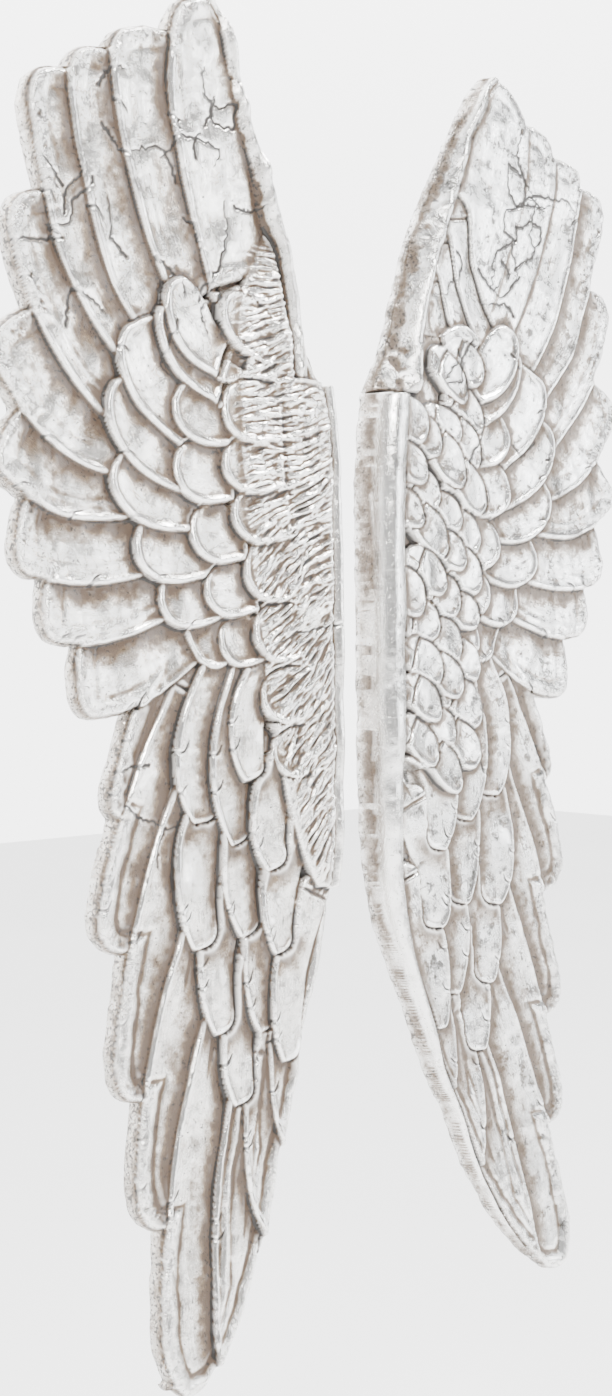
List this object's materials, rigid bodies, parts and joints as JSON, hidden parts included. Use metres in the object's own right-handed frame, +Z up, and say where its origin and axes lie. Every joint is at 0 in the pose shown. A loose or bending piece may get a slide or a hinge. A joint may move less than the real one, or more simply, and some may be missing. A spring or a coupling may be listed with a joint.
{
  "type": "pair of sculpted wall wings",
  "caption": "Mirrored pair of sculpted feather wings for a wall, in antiqued silver leaf, hung by swinging D-rings with rubber bumpers behind.",
  "frame": {"origin": "point on the wall midway between the two wings, level with where the upper rings bear on their hooks", "axes": "+Z up along the wings, +X to the viewer's right, +Y into the wall; the front faces -Y"},
  "size_m": [0.6768, 0.0731, 1.062],
  "materials": {
    "silver_leaf": "antiqued silver leaf over cast resin, brown wash in the hollows, satin",
    "bare_cast_back": "unfinished cast resin, matt",
    "brass_plated_steel": "brass-plated sheet steel",
    "zinc_wire": "zinc-plated",
    "rubber_bumper": "soft matt rubber"
  },
  "bodies": {
    "root": {"right_backing": "bare_cast_back", "right_spar": "silver_leaf", "right_shoulder_rim": "silver_leaf", "right_down_panel": "silver_leaf", "right_tertials": "silver_leaf", "right_secondaries": "silver_leaf", "right_primaries": "silver_leaf", "right_greater_coverts": "silver_leaf", "right_primary_coverts": "silver_leaf", "right_median_coverts": "silver_leaf", "right_bastard_feathers": "silver_leaf", "right_lesser_coverts": "silver_leaf", "right_upper_hanger_strap": "brass_plated_steel", "right_upper_hanger_screw_1": "zinc_wire", "right_upper_hanger_screw_2": "zinc_wire", "right_lower_hanger_strap": "brass_plated_steel", "right_lower_hanger_screw_1": "zinc_wire", "right_lower_hanger_screw_2": "zinc_wire", "right_upper_inner_bumper": "rubber_bumper", "right_upper_outer_bumper": "rubber_bumper", "right_lower_inner_bumper": "rubber_bumper", "right_lower_outer_bumper": "rubber_bumper", "left_backing": "bare_cast_back", "left_spar": "silver_leaf", "left_shoulder_rim": "silver_leaf", "left_down_panel": "silver_leaf", "left_tertials": "silver_leaf", "left_secondaries": "silver_leaf", "left_primaries": "silver_leaf", "left_greater_coverts": "silver_leaf", "left_primary_coverts": "silver_leaf", "left_median_coverts": "silver_leaf", "left_bastard_feathers": "silver_leaf", "left_lesser_coverts": "silver_leaf", "left_upper_hanger_strap": "brass_plated_steel", "left_upper_hanger_screw_1": "zinc_wire", "left_upper_hanger_screw_2": "zinc_wire", "left_lower_hanger_strap": "brass_plated_steel", "left_lower_hanger_screw_1": "zinc_wire", "left_lower_hanger_screw_2": "zinc_wire", "left_upper_inner_bumper": "rubber_bumper", "left_upper_outer_bumper": "rubber_bumper", "left_lower_inner_bumper": "rubber_bumper", "left_lower_outer_bumper": "rubber_bumper"},
    "right_upper_ring": {"right_upper_hanger_ring": "zinc_wire"},
    "right_lower_ring": {"right_lower_hanger_ring": "zinc_wire"},
    "left_upper_ring": {"left_upper_hanger_ring": "zinc_wire"},
    "left_lower_ring": {"left_lower_hanger_ring": "zinc_wire"}
  },
  "joints": [
    {"name": "right_upper_ring_swing", "type": "hinge", "parent": "root", "child": "right_upper_ring", "pos_m": [0.13, -0.0047, -0.016], "axis": [-1, 0, 0], "range_deg": [0, 176]},
    {"name": "right_lower_ring_swing", "type": "hinge", "parent": "root", "child": "right_lower_ring", "pos_m": [0.13, -0.0047, -0.24602], "axis": [-1, 0, 0], "range_deg": [0, 176]},
    {"name": "left_upper_ring_swing", "type": "hinge", "parent": "root", "child": "left_upper_ring", "pos_m": [-0.13, -0.0047, -0.016], "axis": [-1, 0, 0], "range_deg": [0, 176]},
    {"name": "left_lower_ring_swing", "type": "hinge", "parent": "root", "child": "left_lower_ring", "pos_m": [-0.13, -0.0047, -0.24602], "axis": [-1, 0, 0], "range_deg": [0, 176]}
  ]
}
